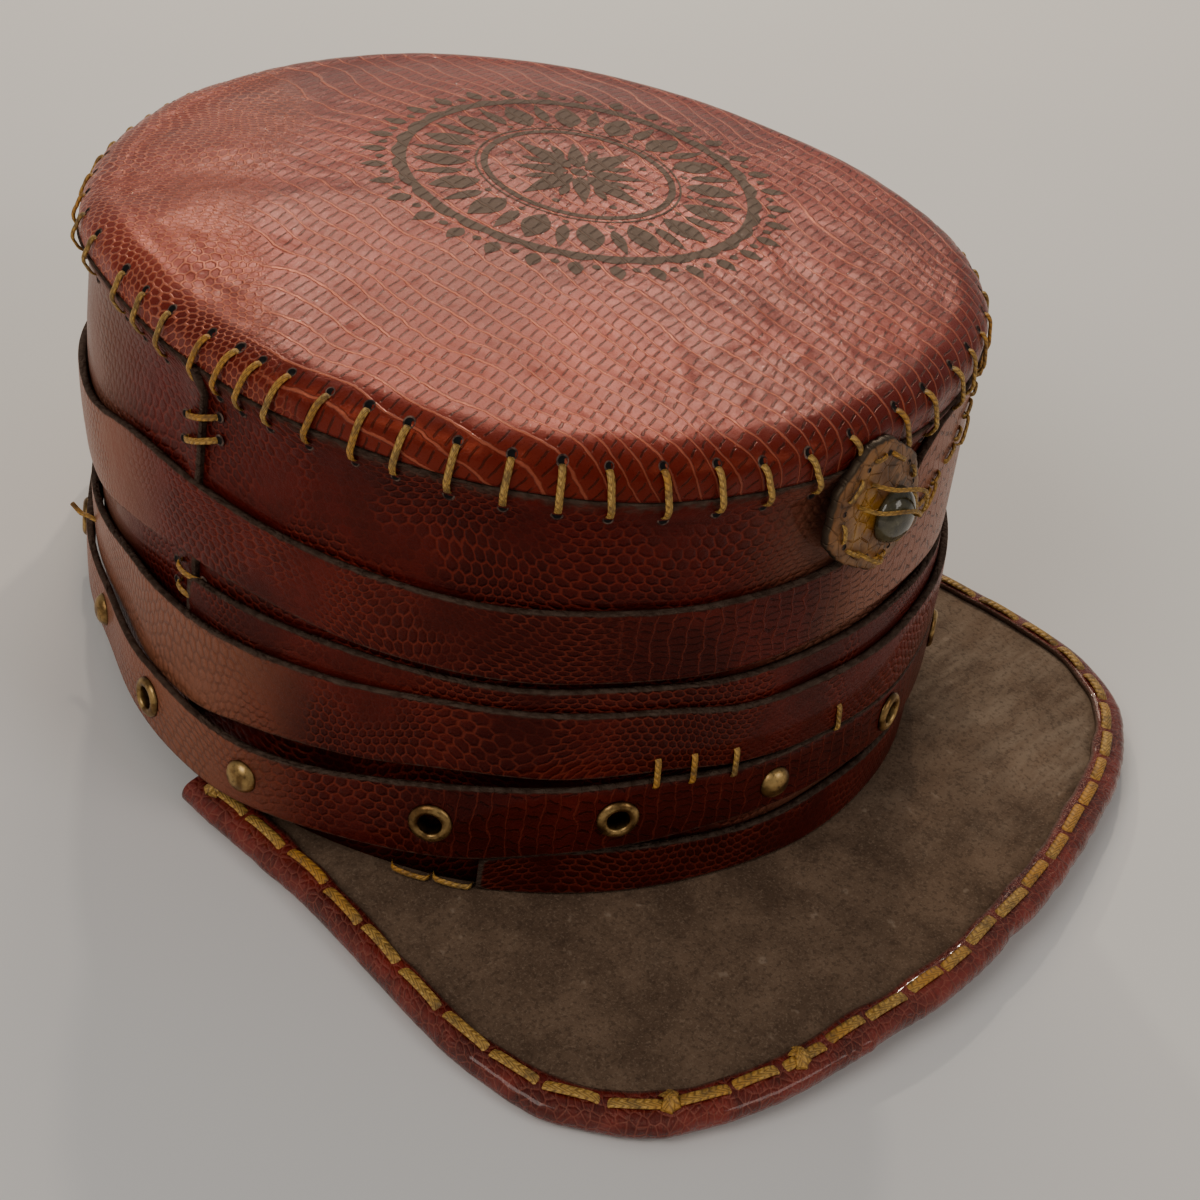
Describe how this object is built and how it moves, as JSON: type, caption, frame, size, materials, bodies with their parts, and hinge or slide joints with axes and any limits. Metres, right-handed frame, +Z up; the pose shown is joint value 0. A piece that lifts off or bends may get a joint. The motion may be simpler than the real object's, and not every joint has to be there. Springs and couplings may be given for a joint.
{
  "type": "kepi cap",
  "caption": "Drum-shaped leather cap with a domed top, wrapped straps with brass eyelets and rivets, a front medallion and a wide bound peak.",
  "frame": {"origin": "on the ground on the hat's middle line, midway between its front and back to within 1 mm", "axes": "+Z up out of the crown's top, -Y forward over the peak, +X towards the wearer's left"},
  "size_m": [0.215, 0.2593, 0.1098],
  "materials": {
    "red_leather": "glossy embossed",
    "maroon_leather": "glossy embossed",
    "strap_leather": "waxed embossed",
    "dark_suede": "rough suede",
    "tan_leather": "worn",
    "aged_brass": "aged",
    "grey_green_glass": "polished"
  },
  "bodies": {
    "root": {"crown_top": "red_leather", "crown_wall_front": "maroon_leather", "crown_wall_back": "maroon_leather", "strap_upper": "strap_leather", "strap_inner": "strap_leather", "strap_middle": "strap_leather", "strap_eyelet": "strap_leather", "strap_lower": "strap_leather", "peak": "dark_suede", "peak_binding": "red_leather", "medallion_patch": "tan_leather", "medallion_stone": "grey_green_glass", "eyelet_01": "aged_brass", "eyelet_02": "aged_brass", "eyelet_03": "aged_brass", "eyelet_04": "aged_brass", "eyelet_05": "aged_brass", "eyelet_06": "aged_brass", "eyelet_07": "aged_brass", "eyelet_08": "aged_brass", "eyelet_09": "aged_brass", "eyelet_10": "aged_brass", "eyelet_11": "aged_brass", "rivet_01": "aged_brass", "rivet_02": "aged_brass", "rivet_03": "aged_brass", "rivet_04": "aged_brass", "rivet_05": "aged_brass", "rivet_06": "aged_brass"}
  },
  "joints": []
}
